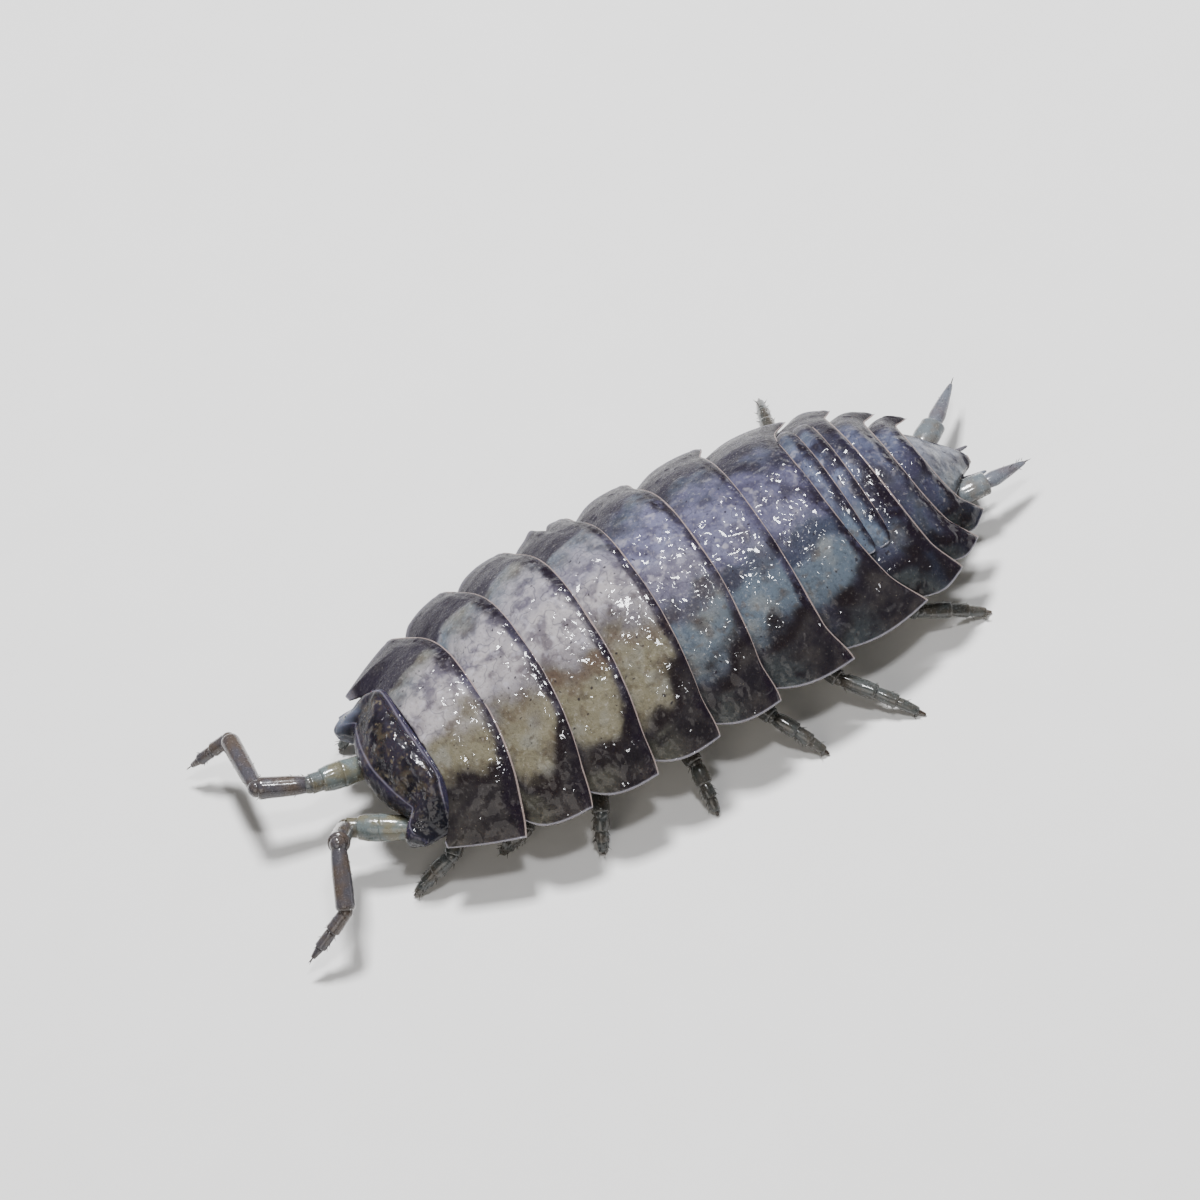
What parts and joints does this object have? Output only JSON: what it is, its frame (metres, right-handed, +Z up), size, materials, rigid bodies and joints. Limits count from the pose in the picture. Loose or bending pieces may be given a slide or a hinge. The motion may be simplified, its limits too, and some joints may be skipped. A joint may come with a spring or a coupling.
{
  "type": "woodlouse",
  "caption": "Still, life-size woodlouse standing on its legs: overlapping arched back plates, head with eyes and bent feelers, tapering tail with forked tail limbs.",
  "frame": {"origin": "on the floor under the middle of the bounding box", "axes": "+Z up, -Y towards the head and feelers, +Y towards the tail, +X the animal's left side"},
  "size_m": [0.01, 0.0184, 0.0033],
  "materials": {
    "back_plate": "wet, glossy, mottled cuticle",
    "tail_plate": "wet, glossy cuticle",
    "head_shell": "glossy, grained cuticle",
    "eye": "glossy black",
    "under_pale": "pale satin cuticle",
    "limb": "pale, slightly translucent cuticle"
  },
  "bodies": {
    "root": {"pereonite_1": "back_plate", "pereonite_2": "back_plate", "pereonite_3": "back_plate", "pereonite_4": "back_plate", "pereonite_5": "back_plate", "pereonite_6": "back_plate", "pereonite_7": "back_plate", "pleonite_1": "tail_plate", "pleonite_2": "tail_plate", "pleonite_3": "tail_plate", "pleonite_4": "tail_plate", "pleonite_5": "tail_plate", "telson": "tail_plate", "leg_left_1": "limb", "leg_left_2": "limb", "leg_left_3": "limb", "leg_left_4": "limb", "leg_left_5": "limb", "leg_left_6": "limb", "leg_left_7": "limb", "leg_right_1": "limb", "leg_right_2": "limb", "leg_right_3": "limb", "leg_right_4": "limb", "leg_right_5": "limb", "leg_right_6": "limb", "leg_right_7": "limb", "feeler_left_base": "limb", "feeler_left_fourth": "limb", "feeler_left_fifth": "limb", "feeler_left_lash": "limb", "feeler_right_base": "limb", "feeler_right_fourth": "limb", "feeler_right_fifth": "limb", "feeler_right_lash": "limb", "uropod_left_root": "limb", "uropod_left_outer": "limb", "uropod_right_root": "limb", "uropod_right_outer": "limb", "eye_left": "eye", "eye_right": "eye", "head": "head_shell", "mouthparts": "under_pale", "pleopods": "under_pale"}
  },
  "joints": []
}
